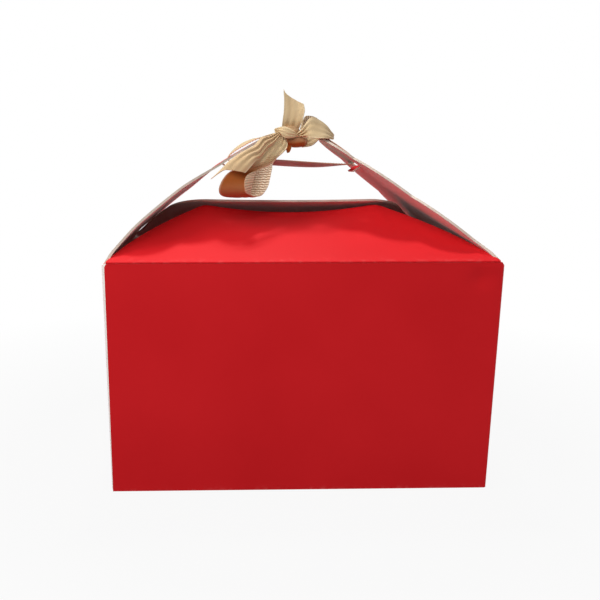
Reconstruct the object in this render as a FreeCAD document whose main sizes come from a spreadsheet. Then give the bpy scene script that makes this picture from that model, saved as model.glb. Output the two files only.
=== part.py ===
# Gift box: a creased board carton with scalloped end flaps, closed by a ribbon and bow.
# Millimetres. X runs left to right, Y front to back, Z up. The origin is the centre of the base.
import FreeCAD
import Part
import Sketcher
import math
import os

VECTOR = FreeCAD.Vector

doc = FreeCAD.newDocument("gift_box")
sheet = doc.addObject("Spreadsheet::Sheet", "Sizes")

# Sizes of the carton, its creases, its flaps and its ribbon
SIZES = [
    ("box_width", "200 mm"),
    ("box_depth", "140 mm"),
    ("wall_height", "122 mm"),
    ("board", "1.2 mm"),
    ("crease_gap", "0.12 mm"),
    ("fold_radius", "1 mm"),
    ("seam_setback", "1.6 mm"),
    ("tab_width", "16 mm"),
    ("tab_taper", "7 mm"),
    ("tab_drop", "2 mm"),
    ("flap_end_gap", "1.2 mm"),
    ("inner_flap_over", "5 mm"),
    ("front_lean_share", "0.509"),
    ("back_lean_share", "0.577"),
    ("front_side_radius", "206 mm"),
    ("front_inset", "43.7 mm"),
    ("front_fall", "42 deg"),
    ("front_corner", "14 mm"),
    ("back_taper", "0.5"),
    ("back_corner", "24 mm"),
    ("end_flap_length", "104 mm"),
    ("tip_gap", "32.5 mm"),
    ("left_rise", "4.5 mm"),
    ("right_rise", "1.6 mm"),
    ("scallop_start", "16 mm"),
    ("scallop_pitch", "34 mm"),
    ("scallop_depth", "4.6 mm"),
    ("tip_taper", "0.577"),
    ("slot_from_tip", "25.6 mm"),
    ("slot_width", "17 mm"),
    ("slot_height", "6 mm"),
    ("slot_tab_lean", "70 deg"),
    ("slot_tab_side_gap", "0.8 mm"),
    ("slot_tab_cut", "0.4 mm"),
    ("ribbon_width", "15 mm"),
    ("ribbon_thickness", "0.4 mm"),
    ("ribbon_gap", "0.25 mm"),
    ("ribbon_lift", "0.15 mm"),
    ("run_bulge", "1.8 mm"),
    ("slot_bend", "0.75 mm"),
    ("knot_width", "10 mm"),
    ("knot_depth", "12 mm"),
    ("knot_height", "14 mm"),
    ("knot_round", "3 mm"),
    ("knot_over_tips", "0.7 mm"),
    ("knot_forward", "3 mm"),
    ("left_run_rise", "2.6 mm"),
    ("right_run_drop", "3.2 mm"),
    ("strand_sag", "0.2 mm"),
    ("right_loop_reach", "19.6 mm"),
    ("left_loop_reach", "31.8 mm"),
    ("left_loop_clear", "16.9 mm"),
    ("upper_tail_reach", "14.2 mm"),
    ("left_tail_reach", "34.2 mm"),
    ("bottom_reach", "0.62"),
    ("bottom_front_taper", "12 mm"),
    ("bottom_back_taper", "10 mm"),
    ("lug_reach", "66 mm"),
    ("tongue_width", "60 mm"),
    ("tongue_length", "24 mm"),
    ("tongue_play", "2 mm"),
    ("tongue_slack", "0.3 mm"),
]

# Values worked out from the sizes above
DERIVED = [
    ("half_width", "=box_width / 2"),
    ("half_depth", "=box_depth / 2"),
    ("wall_top", "=wall_height - board * 0.55 - crease_gap"),
    ("bead", "=board * 0.55"),
    ("inner_half", "=half_width - board - flap_end_gap"),
    ("end_half", "=half_depth - board - flap_end_gap"),
    ("inner_flap_length", "=half_depth + inner_flap_over"),
    ("end_lean", "=acos((half_width - board / 2 - tip_gap / 2) / end_flap_length)"),
    ("front_lean", "=end_lean * front_lean_share"),
    ("back_lean", "=end_lean * back_lean_share"),
    ("tip_height", "=wall_height + end_flap_length * sin(end_lean)"),
    ("knot_level", "=tip_height + knot_over_tips"),
    ("loop_inset", "=half_depth - knot_forward - left_loop_reach * 0.82"),
    ("left_loop_drop", "=knot_level - wall_height - loop_inset * tan(front_lean) - left_loop_clear"),
    ("slot_distance", "=end_flap_length - slot_from_tip"),
    ("front_low", "=inner_flap_length - front_corner * (1 - sin(front_fall))"),
    ("front_low_half", "=inner_half - front_inset"),
    ("front_top_half", "=front_low_half - front_corner * cos(front_fall)"),
    ("back_tangent", "=back_corner * tan(atan(1 / back_taper) / 2)"),
    ("back_side", "=sqrt(1 + back_taper ^ 2)"),
    ("back_low", "=inner_flap_length - back_tangent / back_side"),
    ("back_low_half", "=inner_half - back_taper * back_low"),
    ("back_top_half", "=inner_half - back_taper * inner_flap_length - back_tangent"),
    ("left_radius", "=(end_flap_length ^ 2 / 4 + left_rise ^ 2) / (2 * left_rise)"),
    ("right_radius", "=(end_flap_length ^ 2 / 4 + right_rise ^ 2) / (2 * right_rise)"),
    ("left_turn", "=asin(end_flap_length / (2 * left_radius))"),
    ("right_turn", "=asin(end_flap_length / (2 * right_radius))"),
    ("notch_one", "=end_half - tip_taper * scallop_start"),
    ("notch_two", "=notch_one - tip_taper * scallop_pitch"),
    ("notch_three", "=notch_two - tip_taper * scallop_pitch"),
    ("lobe_chord", "=scallop_pitch * sqrt(1 + tip_taper ^ 2)"),
    ("lobe_radius", "=(lobe_chord ^ 2 / 4 + scallop_depth ^ 2) / (2 * scallop_depth)"),
    ("tip_run", "=end_flap_length - scallop_start - scallop_pitch * 2"),
    ("tip_radius", "=(notch_three ^ 2 + tip_run ^ 2) / (2 * tip_run)"),
    ("inside_width", "=box_width - 2 * board"),
    ("inside_depth", "=box_depth - 2 * board"),
    ("lock_line", "=inside_depth * (0.5 - bottom_reach)"),
    ("wing_line", "=inside_depth * (bottom_reach - 0.5)"),
    ("notch_half", "=tongue_width / 2 + tongue_play"),
]

row = 1
for alias, text in SIZES + DERIVED:
    sheet.set("A%d" % row, alias)
    sheet.set("B%d" % row, text)
    sheet.setAlias("B%d" % row, alias)
    row += 1
doc.recompute()


def size(alias):
    """A sheet value as a plain number, in millimetres or degrees."""
    value = getattr(sheet, alias)
    return float(getattr(value, "Value", value))


def cell(text):
    """An expression over sheet aliases, with the sheet's name put before each alias."""
    out = text
    for alias, _ in sorted(SIZES + DERIVED, key=lambda pair: -len(pair[0])):
        out = out.replace(alias, "@%d@" % [a for a, _ in SIZES + DERIVED].index(alias))
    for index, (alias, _) in enumerate(SIZES + DERIVED):
        out = out.replace("@%d@" % index, "Sizes.%s" % alias)
    return out


def number(text):
    """The present value of an expression over sheet aliases."""
    value = sheet.evalExpression(text)
    return float(getattr(value, "Value", value))


def plane(body, name):
    """One of the body's own origin planes."""
    return [o for o in body.Origin.OriginFeatures if o.Name.startswith(name)][0]


def sketch(body, name, on, outlines):
    """A sketch of closed outlines on an origin plane of the body.

    Each outline is a list of corners. A corner is (x, y) or (x, y, radius, side): two or three
    expressions, and +1 or -1 for an arc from this corner to the next that bulges to the right or left
    of the way along.
    """
    drawing = body.newObject("Sketcher::SketchObject", name)
    drawing.AttachmentSupport = [(plane(body, on), "")]
    drawing.MapMode = "FlatFace"
    for corners in outlines:
        first = drawing.GeometryCount
        points = [VECTOR(number(c[0]), number(c[1]), 0) for c in corners]
        count = len(corners)
        for index, corner in enumerate(corners):
            start, end = points[index], points[(index + 1) % count]
            if len(corner) == 2:
                drawing.addGeometry(Part.LineSegment(start, end))
                continue
            radius, side = number(corner[2]), corner[3]
            chord = end - start
            half = chord.Length / 2
            sagitta = radius - math.sqrt(max(radius * radius - half * half, 0))
            right = VECTOR(chord.y, -chord.x, 0).normalize()
            middle = (start + end) * 0.5 + right * (sagitta * side)
            drawing.addGeometry(Part.Arc(start, middle, end))
        for index, corner in enumerate(corners):
            this, after = first + index, first + (index + 1) % count
            this_end = ends(corners[index])[1]
            after_start = ends(corners[(index + 1) % count])[0]
            drawing.addConstraint(Sketcher.Constraint("Coincident", this, this_end, after, after_start))
        for index, corner in enumerate(corners):
            this = first + index
            for kind, text, value in (
                ("DistanceX", corner[0], points[index].x),
                ("DistanceY", corner[1], points[index].y),
            ):
                rule = Sketcher.Constraint(kind, -1, 1, this, ends(corner)[0], value)
                number_of = drawing.addConstraint(rule)
                drawing.setExpression("Constraints[%d]" % number_of, cell(text))
            if len(corner) > 2:
                number_of = drawing.addConstraint(Sketcher.Constraint("Radius", this, number(corner[2])))
                drawing.setExpression("Constraints[%d]" % number_of, cell(corner[2]))
    return drawing


def ends(corner):
    """The point numbers of a side's start and end: an arc that runs clockwise is stored reversed."""
    return (2, 1) if len(corner) > 2 and corner[3] < 0 else (1, 2)


def pad(body, name, drawing, length, midplane=False, reverse=False):
    """Adds a sketch's outline as material of the given length."""
    feature = body.newObject("PartDesign::Pad", name)
    feature.Profile = drawing
    feature.Midplane = midplane
    feature.Reversed = reverse
    feature.setExpression("Length", cell(length))
    drawing.Visibility = False
    body.Tip = feature
    return feature


def pocket(body, name, drawing, length):
    """Cuts a sketch's outline away on both sides of its plane."""
    feature = body.newObject("PartDesign::Pocket", name)
    feature.Profile = drawing
    feature.Midplane = True
    feature.setExpression("Length", cell(length))
    drawing.Visibility = False
    body.Tip = feature
    return feature


def place(thing, x, y, z, yaw="0 deg", pitch="0 deg"):
    """Ties an object's place and turn to the sheet."""
    spot = "create(<<vector>>; %s; %s; %s)" % (cell(x), cell(y), cell(z))
    turn = "create(<<rotation>>; %s; %s; 0 deg)" % (cell(yaw), cell(pitch))
    thing.setExpression("Placement", "create(<<placement>>; %s; %s)" % (spot, turn))


def new_body(label):
    body = doc.addObject("PartDesign::Body", label + "_body")
    body.Label = label
    return body


PARTS = []


# Walls: plan sections padded up to just under the top creases
def wall(label, corners):
    body = new_body(label)
    pad(body, label + "_pad", sketch(body, label + "_plan", "XY_Plane", [corners]), "wall_top")
    PARTS.append(body)


wall("front_wall", [
    ("seam_setback - half_width", "-half_depth"),
    ("half_width - fold_radius", "-half_depth", "fold_radius", 1),
    ("half_width", "fold_radius - half_depth"),
    ("half_width", "board - half_depth"),
    ("seam_setback - half_width", "board - half_depth"),
])
wall("right_wall", [
    ("half_width - board", "board - half_depth"),
    ("half_width", "board - half_depth"),
    ("half_width", "half_depth - board"),
    ("half_width - board", "half_depth - board"),
])
wall("back_wall", [
    ("-half_width", "half_depth - board"),
    ("half_width", "half_depth - board"),
    ("half_width", "half_depth - fold_radius", "fold_radius", 1),
    ("half_width - fold_radius", "half_depth"),
    ("fold_radius - half_width", "half_depth", "fold_radius", 1),
    ("-half_width", "half_depth - fold_radius"),
])
wall("left_wall", [
    ("-half_width", "board - half_depth"),
    ("board - half_width", "board - half_depth"),
    ("board - half_width", "half_depth - board"),
    ("-half_width", "half_depth - board"),
])

# The glued tab: it turns in from the left wall behind the front wall
tab = new_body("glue_tab")
tab_drawing = sketch(tab, "glue_tab_face", "XZ_Plane", [[
    ("board - half_width", "board * 4"),
    ("board + tab_width - half_width", "board * 4 + tab_taper"),
    ("board + tab_width - half_width", "wall_top - tab_taper - tab_drop"),
    ("board - half_width", "wall_top - tab_drop"),
]])
pad(tab, "glue_tab_pad", tab_drawing, "board", reverse=True)
place(tab, "0 mm", "board - half_depth", "0 mm")
PARTS.append(tab)


# Snap-lock bottom: the front flap lies lowest, the side lugs on it, the back flap above them
def bottom(label, level, corners):
    body = new_body(label)
    drawing = sketch(body, label + "_plan", "XY_Plane", [corners])
    pad(body, label + "_pad", drawing, "board")
    place(body, "0 mm", "0 mm", level)
    PARTS.append(body)
    return body


# Its wings lie under the lugs, and its tongue rises through the back flap's notch and lies on top
front_bottom = bottom("bottom_front_flap", "0 mm", [
    ("-inside_width / 2", "-inside_depth / 2"),
    ("inside_width / 2", "-inside_depth / 2"),
    ("inside_width / 2 - bottom_front_taper", "wing_line"),
    ("notch_half", "wing_line"),
    ("notch_half", "lock_line + tongue_play"),
    ("-notch_half", "lock_line + tongue_play"),
    ("-notch_half", "wing_line"),
    ("bottom_front_taper - inside_width / 2", "wing_line"),
])
tongue = sketch(front_bottom, "tongue_section", "YZ_Plane", [[
    ("lock_line + tongue_play - board", "board * 0.5"),
    ("lock_line + tongue_play", "board * 0.5"),
    ("lock_line + tongue_play", "board * 3"),
    ("lock_line + tongue_play + tongue_length", "board * 3"),
    ("lock_line + tongue_play + tongue_length", "board * 4"),
    ("lock_line + tongue_play - board", "board * 4"),
]])
pad(front_bottom, "tongue_pad", tongue, "tongue_width", midplane=True)
for side, sign in (("left", "-"), ("right", "")):
    far = sign + "(inside_width / 2)"
    near = sign + "(inside_width / 2 - lug_reach)"
    corners = [
        (far, "-inside_depth / 2"),
        (near, "-inside_depth * 0.3"),
        (near, "inside_depth * 0.12"),
        (sign + "(inside_width / 2 - lug_reach * 0.6)", "inside_depth * 0.3"),
        (far, "inside_depth / 2"),
    ]
    if sign:
        corners = corners[::-1]
    bottom("bottom_%s_flap" % side, "board", corners)
bottom("bottom_back_flap", "board * 2", [
    ("inside_width / 2", "inside_depth / 2"),
    ("-inside_width / 2", "inside_depth / 2"),
    ("bottom_back_taper - inside_width / 2", "lock_line"),
    ("-notch_half", "lock_line"),
    ("-notch_half", "lock_line + tongue_play + tongue_slack"),
    ("notch_half", "lock_line + tongue_play + tongue_slack"),
    ("notch_half", "lock_line"),
    ("inside_width / 2 - bottom_back_taper", "lock_line"),
])


# Front and back top flaps: a plate with a bead on its crease. Local X runs from the crease to the free edge.
def top_flap(label, side, y, yaw, bulge=()):
    """bulge is empty for straight sides, or the radius of the sides and the way they bulge."""
    body = new_body(label)
    reach = "inner_flap_length"
    corner = side + "_corner"
    low, low_half, top_half = side + "_low", side + "_low_half", side + "_top_half"
    drawing = sketch(body, label + "_plan", "XY_Plane", [[
        ("0 mm", "-inner_half") + bulge,
        (low, "-" + low_half, corner, 1),
        (reach, "-" + top_half),
        (reach, top_half, corner, 1),
        (low, low_half) + bulge,
        ("0 mm", "inner_half"),
    ]])
    pad(body, label + "_pad", drawing, "board", midplane=True)
    bead(body, label, "inner_half * 2")
    place(body, "0 mm", y, "wall_height", yaw, "-%s_lean" % side)
    PARTS.append(body)


def bead(body, label, length):
    """The round bead of the crease, on the hinge axis."""
    feature = body.newObject("Sketcher::SketchObject", label + "_bead_section")
    feature.AttachmentSupport = [(plane(body, "XZ_Plane"), "")]
    feature.MapMode = "FlatFace"
    feature.addGeometry(Part.Circle(VECTOR(0, 0, 0), VECTOR(0, 0, 1), size("bead")))
    feature.addConstraint(Sketcher.Constraint("Coincident", 0, 3, -1, 1))
    number_of = feature.addConstraint(Sketcher.Constraint("Radius", 0, size("bead")))
    feature.setExpression("Constraints[%d]" % number_of, cell("bead"))
    pad(body, label + "_bead", feature, length, midplane=True)


top_flap("front_top_flap", "front", "board / 2 - half_depth", "90 deg", ("front_side_radius", 1))
top_flap("back_top_flap", "back", "half_depth - board / 2", "-90 deg")


# End flaps: an arched plate trimmed to the scalloped outline, with its ribbon slot and crease bead
def end_flap(label, radius, turn, rise, x, yaw):
    body = new_body(label)
    middle = "end_flap_length / 2"
    outer = "(%s + board / 2)" % radius
    inner = "(%s - board / 2)" % radius
    sink = "%s - %s" % (rise, radius)
    section = sketch(body, label + "_section", "XZ_Plane", [[
        ("%s - %s * sin(%s)" % (middle, inner, turn), "%s + %s * cos(%s)" % (sink, inner, turn), inner, -1),
        ("%s + %s * sin(%s)" % (middle, inner, turn), "%s + %s * cos(%s)" % (sink, inner, turn)),
        ("%s + %s * sin(%s)" % (middle, outer, turn), "%s + %s * cos(%s)" % (sink, outer, turn), outer, 1),
        ("%s - %s * sin(%s)" % (middle, outer, turn), "%s + %s * cos(%s)" % (sink, outer, turn)),
    ]])
    pad(body, label + "_plate", section, "end_half * 2", midplane=True)
    at_one = "scallop_start"
    at_two = "(scallop_start + scallop_pitch)"
    at_three = "(scallop_start + scallop_pitch * 2)"
    trim = sketch(body, label + "_trim", "XY_Plane", [
        [
            ("-5 mm", "-end_half - 10 mm"),
            ("end_flap_length + 20 mm", "-end_half - 10 mm"),
            ("end_flap_length + 20 mm", "end_half + 10 mm"),
            ("-5 mm", "end_half + 10 mm"),
        ],
        [
            ("-3 mm", "-end_half"),
            ("0 mm", "-end_half"),
            (at_one, "-notch_one", "lobe_radius", 1),
            (at_two, "-notch_two", "lobe_radius", 1),
            (at_three, "-notch_three", "tip_radius", 1),
            ("end_flap_length", "0 mm", "tip_radius", 1),
            (at_three, "notch_three", "lobe_radius", 1),
            (at_two, "notch_two", "lobe_radius", 1),
            (at_one, "notch_one"),
            ("0 mm", "end_half"),
            ("-3 mm", "end_half"),
        ],
    ])
    pocket(body, label + "_outline", trim, "60 mm")
    slot = sketch(body, label + "_slot_plan", "XY_Plane", [[
        ("slot_distance - slot_height / 2", "-slot_width / 2"),
        ("slot_distance + slot_height / 2", "-slot_width / 2"),
        ("slot_distance + slot_height / 2", "slot_width / 2"),
        ("slot_distance - slot_height / 2", "slot_width / 2"),
    ]])
    pocket(body, label + "_slot", slot, "60 mm")
    bead(body, label, "end_half * 2")
    place(body, x, "0 mm", "wall_height", yaw, "-end_lean")
    PARTS.append(body)


end_flap("left_end_flap", "left_radius", "left_turn", "left_rise", "board / 2 - half_width", "0 deg")
end_flap("right_end_flap", "right_radius", "right_turn", "right_rise", "half_width - board / 2", "180 deg")


def arch(along, side):
    """Height of an end flap's middle surface over its chord."""
    radius, rise = size(side + "_radius"), size(side + "_rise")
    across = along - size("end_flap_length") / 2
    return rise - radius + math.sqrt(radius * radius - across * across)


def on_flap(side, along, over):
    """The point at a distance from the crease and a height over the flap's middle surface, as (x, z)."""
    lean = math.radians(size("end_lean"))
    height = arch(along, side) + over
    run = along * math.cos(lean) - height * math.sin(lean)
    rise = along * math.sin(lean) + height * math.cos(lean)
    edge = size("half_width") - size("board") / 2
    x = run - edge if side == "left" else edge - run
    return x, size("wall_height") + rise


# The tab that was pushed in at each slot, still joined along the slot's lower edge
def slot_tab(side, turn):
    label = side + "_slot_tab"
    body = new_body(label)
    drawing = sketch(body, label + "_plan", "XY_Plane", [[
        ("0 mm", "slot_tab_side_gap - slot_width / 2"),
        ("slot_height - slot_tab_cut", "slot_tab_side_gap - slot_width / 2"),
        ("slot_height - slot_tab_cut", "slot_width / 2 - slot_tab_side_gap"),
        ("0 mm", "slot_width / 2 - slot_tab_side_gap"),
    ]])
    pad(body, label + "_pad", drawing, "board")
    along = size("slot_distance") - size("slot_height") / 2 + size("crease_gap")
    spot = on_flap(side, along, 0)
    tip = size("slot_tab_lean") - size("end_lean")
    body.Placement = FreeCAD.Placement(VECTOR(spot[0], 0, spot[1]), FreeCAD.Rotation(turn, tip, 0))
    PARTS.append(body)


slot_tab("left", 0)
slot_tab("right", 180)


# Ribbon: flat strips lofted through sections along a path
def strip(label, stations, steps=4):
    """A ribbon stretch: a smooth path through the stations, with a flat section at each step.

    A station is (point, across, width): the middle of the ribbon, the way its width runs and its width there.
    """
    points = [VECTOR(*s[0]) for s in stations]
    across = [VECTOR(*s[1]).normalize() * s[2] for s in stations]
    path, wide = [], []
    for index in range(len(stations) - 1):
        for step in range(steps):
            part = step / steps
            path.append(curve(points, index, part))
            wide.append(curve(across, index, part))
    path.append(points[-1])
    wide.append(across[-1])
    wires = []
    for index, spot in enumerate(path):
        ahead = path[min(index + 1, len(path) - 1)] - path[max(index - 1, 0)]
        over = ahead.cross(wide[index]).normalize() * (THICK / 2)
        half = wide[index] * 0.5
        corners = [spot - half - over, spot + half - over, spot + half + over, spot - half + over]
        wires.append(Part.makePolygon(corners + corners[:1]))
    feature = doc.addObject("Part::Feature", label + "_strip")
    feature.Label = label
    feature.Shape = Part.makeLoft(wires, True, True)
    PARTS.append(feature)


def curve(points, index, part):
    """Catmull-Rom curve through the points, between points index and index + 1."""
    p1, p2 = points[index], points[index + 1]
    p0 = points[index - 1] if index else p1 * 2 - p2
    p3 = points[index + 2] if index + 2 < len(points) else p2 * 2 - p1
    a = p1 * 2
    b = p2 - p0
    c = p0 * 2 - p1 * 5 + p2 * 4 - p3
    d = p1 * 3 - p0 - p2 * 3 + p3
    return (a + b * part + c * (part * part) + d * (part * part * part)) * 0.5


WIDE = size("ribbon_width")
THICK = size("ribbon_thickness")
GAP = size("ribbon_gap")
BEND = size("slot_bend")
BULGE = size("run_bulge")
TIP = size("end_flap_length")
SLOT_EDGE = size("slot_distance") + size("slot_height") / 2
LIFT = size("board") / 2 + THICK / 2 + size("ribbon_lift")
DIP = size("board") / 2 + BEND
KNOT_SIDE = size("knot_width") / 2 + GAP
KNOT_HEAD = size("knot_height") / 2 + GAP
KNOT_Y = -size("knot_forward")
KNOT_Z = size("knot_level")
ACROSS_Y = (0, 1, 0)


def flap_station(side, along, over, share=1.0):
    x, z = on_flap(side, along, over)
    return ((x, 0, z), ACROSS_Y, WIDE * share)


def run(side, sign, rise, slant, forward):
    """From inside the slot, out through it, along the flap's outer face, over its tip and to the knot."""
    bare = TIP - SLOT_EDGE
    stations = [
        flap_station(side, SLOT_EDGE - BEND * 1.2, -DIP),
        flap_station(side, SLOT_EDGE - BEND, 0.0),
        flap_station(side, SLOT_EDGE + BEND * 0.3, LIFT + THICK / 4),
        flap_station(side, SLOT_EDGE + bare * 0.18, LIFT + BULGE * 0.6),
        flap_station(side, SLOT_EDGE + bare * 0.45, LIFT + BULGE),
        flap_station(side, SLOT_EDGE + bare * 0.75, LIFT + BULGE * 0.7),
        flap_station(side, TIP, LIFT + THICK / 2, 0.95),
    ]
    end = sign * KNOT_SIDE
    x, z = on_flap(side, TIP, LIFT + THICK / 2)
    middle = ((x + end) / 2, KNOT_Y * forward, (z + KNOT_Z + rise) / 2 + THICK)
    stations.append((middle, slant, WIDE * 0.75))
    stations.append(((end, KNOT_Y, KNOT_Z + rise), slant, WIDE * 0.5))
    strip("ribbon_%s_run" % side, stations)


run("left", -1, size("left_run_rise"), ACROSS_Y, 0.5)
run("right", 1, -size("right_run_drop"), (0, 0.8, 0.6), 0.95)
left_in = on_flap("left", SLOT_EDGE - BEND * 1.2, -DIP - GAP - THICK)
right_in = on_flap("right", SLOT_EDGE - BEND * 1.2, -DIP - GAP - THICK)
SAG = size("strand_sag")
strip("ribbon_strand", [
    ((left_in[0], 0, left_in[1]), ACROSS_Y, WIDE),
    ((left_in[0] * 0.4, 0, left_in[1] - SAG), (0, 1, 0.17), WIDE),
    ((right_in[0] * 0.4, 0, right_in[1] - SAG / 2), (0, 1, 0.13), WIDE),
    ((right_in[0], 0, right_in[1]), ACROSS_Y, WIDE),
])

# The knot: a rounded block that the other stretches run up to
knot = new_body("bow_knot")
knot_drawing = sketch(knot, "bow_knot_face", "XZ_Plane", [[
    ("knot_round - knot_width / 2", "-knot_height / 2"),
    ("knot_width / 2 - knot_round", "-knot_height / 2", "knot_round", 1),
    ("knot_width / 2", "knot_round - knot_height / 2"),
    ("knot_width / 2", "knot_height / 2 - knot_round", "knot_round", 1),
    ("knot_width / 2 - knot_round", "knot_height / 2"),
    ("knot_round - knot_width / 2", "knot_height / 2", "knot_round", 1),
    ("-knot_width / 2", "knot_height / 2 - knot_round"),
    ("-knot_width / 2", "knot_round - knot_height / 2", "knot_round", 1),
]])
pad(knot, "bow_knot_pad", knot_drawing, "knot_depth", midplane=True)
place(knot, "0 mm", "-knot_forward", "knot_level")
PARTS.append(knot)


def bow(label, start, reach, drop, stations):
    """A bow stretch from the knot: X and Y in shares of its reach, Z of its drop, widths of the ribbon's."""
    far, deep = size(reach), size(drop)
    strip(label, [
        ((start[0] + p[0] * far, KNOT_Y + p[1] * far, KNOT_Z + start[1] + p[2] * deep), across, share * WIDE)
        for p, across, share in stations
    ])


bow("bow_right_loop", (KNOT_SIDE, 0), "right_loop_reach", "right_loop_reach", [
    ((-0.151, -0.332, 0.061), (0.5, 0, -0.87), 0.113),
    ((-0.003, -0.434, 0.102), (0.44, -0.21, -0.87), 0.32),
    ((0.212, -0.459, 0.255), (-0.04, -0.47, -0.88), 0.847),
    ((0.457, -0.383, 0.219), (-0.11, -0.65, -0.75), 0.927),
    ((0.691, -0.255, 0.148), (-0.17, -0.79, -0.59), 0.847),
    ((0.885, 0, 0.061), (-0.16, -0.9, -0.41), 0.747),
    ((0.997, 0.332, 0.02), (-0.16, -0.93, -0.34), 0.647),
    ((0.895, 0.5, 0.102), (-0.01, -0.84, -0.55), 0.6),
    ((0.61, 0.536, 0.291), (0.08, -0.46, -0.88), 0.72),
    ((0.355, 0.418, 0.372), (0.04, -0.24, -0.97), 0.693),
    ((0.12, 0.281, 0.367), (0.02, -0.11, -0.99), 0.593),
    ((0.013, 0.112, 0.189), (-0.04, -0.15, -0.99), 0.22),
])
bow("bow_left_loop", (-KNOT_SIDE, 0), "left_loop_reach", "left_loop_drop", [
    ((-0.024, -0.223, -0.012), (0.82, 0.25, -0.51), 0.24),
    ((-0.071, -0.33, -0.101), (0.87, 0.26, -0.41), 0.507),
    ((-0.181, -0.465, -0.201), (0.93, 0.25, -0.26), 0.66),
    ((-0.322, -0.613, -0.345), (0.88, 0.47, -0.08), 0.7),
    ((-0.436, -0.723, -0.439), (0.82, 0.57, -0.05), 0.82),
    ((-0.631, -0.865, -0.527), (0.86, 0.51, -0.08), 0.787),
    ((-0.769, -0.95, -0.598), (0.95, 0.3, -0.06), 0.987),
    ((-0.847, -1, -0.716), (0.99, 0.14, 0.01), 1.147),
    ((-0.892, -1, -0.851), (1, 0.03, 0.09), 1.187),
    ((-0.869, -0.928, -0.945), (0.99, -0.13, 0.11), 1.047),
    ((-0.741, -0.786, -1), (0.94, -0.35, 0.05), 0.767),
    ((-0.574, -0.676, -0.973), (0.85, -0.53, 0.01), 0.633),
    ((-0.47, -0.591, -0.835), (0.88, -0.47, -0.01), 0.633),
    ((-0.42, -0.503, -0.686), (0.9, -0.43, 0.04), 0.62),
    ((-0.357, -0.409, -0.555), (0.86, -0.51, 0.08), 0.527),
    ((-0.269, -0.299, -0.454), (0.75, -0.66, 0.07), 0.307),
    ((-0.039, -0.157, -0.171), (0.74, -0.35, -0.57), 0.187),
])
bow("bow_upper_tail", (0, KNOT_HEAD), "upper_tail_reach", "upper_tail_reach", [
    ((-0.077, -0.106, 0.039), (1, 0, 0), 0.667),
    ((-0.021, -0.246, 0.165), (0.98, -0.18, -0.04), 0.747),
    ((0.042, -0.246, 0.504), (0.97, -0.25, -0.05), 0.793),
    ((0.049, -0.176, 0.75), (0.93, -0.25, -0.26), 0.807),
    ((0.042, -0.106, 1.004), (0.84, -0.23, -0.5), 0.867),
])
bow("bow_left_tail", (-KNOT_SIDE, 0), "left_tail_reach", "left_tail_reach", [
    ((-0.007, -0.164, 0.064), (0.2, -0.17, -0.95), 0.12),
    ((-0.086, -0.231, 0.056), (0.75, -0.17, -0.64), 0.12),
    ((-0.238, -0.415, -0.032), (0.65, -0.13, -0.75), 0.26),
    ((-0.364, -0.591, -0.085), (0.44, -0.09, -0.89), 0.353),
    ((-0.475, -0.746, -0.225), (0.43, -0.15, -0.89), 0.447),
    ((-0.613, -0.883, -0.316), (0.82, -0.17, -0.55), 0.58),
    ((-0.759, -0.971, -0.436), (0.95, -0.13, -0.29), 0.78),
    ((-0.861, -1, -0.547), (0.98, -0.12, -0.13), 0.86),
])

# Check and export
doc.recompute()
os.makedirs("parts", exist_ok=True)
for thing in doc.Objects:
    if "Invalid" in thing.State or "Error" in thing.State:
        raise RuntimeError("%s did not recompute" % thing.Label)
for thing in PARTS:
    shape = thing.Shape
    if shape.isNull() or not shape.isValid() or len(shape.Solids) != 1:
        raise RuntimeError("%s is not one valid solid" % thing.Label)
    shape.exportStep("parts/%s.step" % thing.Label)
print("exported", len(PARTS), "pieces")
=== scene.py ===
# Gift box: a red board carton with scalloped end flaps, tied with a gold ribbon and bow.
# Lengths in the tables and surface functions are millimetres; meshes are made in metres.
import math

import bpy
import numpy as np
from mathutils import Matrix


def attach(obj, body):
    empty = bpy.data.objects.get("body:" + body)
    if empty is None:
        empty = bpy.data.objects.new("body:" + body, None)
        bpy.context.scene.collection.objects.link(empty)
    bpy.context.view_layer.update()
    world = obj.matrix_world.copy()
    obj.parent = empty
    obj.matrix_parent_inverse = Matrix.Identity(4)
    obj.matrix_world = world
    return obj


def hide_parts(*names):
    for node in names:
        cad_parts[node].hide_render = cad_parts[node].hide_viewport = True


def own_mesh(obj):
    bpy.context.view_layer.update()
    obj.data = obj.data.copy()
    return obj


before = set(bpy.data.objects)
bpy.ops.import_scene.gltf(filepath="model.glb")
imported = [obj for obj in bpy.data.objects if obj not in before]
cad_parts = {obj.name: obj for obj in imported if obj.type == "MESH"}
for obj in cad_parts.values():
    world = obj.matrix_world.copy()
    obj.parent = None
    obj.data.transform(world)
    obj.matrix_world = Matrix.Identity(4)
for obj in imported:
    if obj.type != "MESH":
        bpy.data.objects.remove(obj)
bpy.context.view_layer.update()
MM = 0.001

# Carton sizes
HALF_W = 100.0
HALF_D = 70.0
WALL_TOP = 121.5
BOARD = 1.2
CREASE_Z = 122.0
END_HINGE_X = 99.4
LONG_HINGE_Y = 69.4
FOLD = 1.6
BEAD = 0.62
END_LENGTH = 104.0
END_LEAN = math.radians(36.92)
END_RISE = {"left": 4.5, "right": 1.6}
FRONT_LEAN = math.radians(18.79)
BACK_LEAN = math.radians(21.30)
LONG_LENGTH = 75.0
SLOT_FROM = 75.4
SLOT_TO = 81.4
SLOT_HALF = 8.5
TWIST = {"left": 1.6, "right": 0.0}
TWIST_FULL_BY = 26.0
TWIST_GONE_BY = 76.0

# The spread of the carton's mouth: its share of X at the creases, the height over them where it has closed,
# the height by which an end flap has all of it, and where and over how much height a wall's top turns back in
MOUTH = 0.016
SPREAD_CLOSES = 62.0
END_SPREAD_BY = 5.0
WALL_TURN_END = 0.4
WALL_TURN = 2.4

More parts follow.
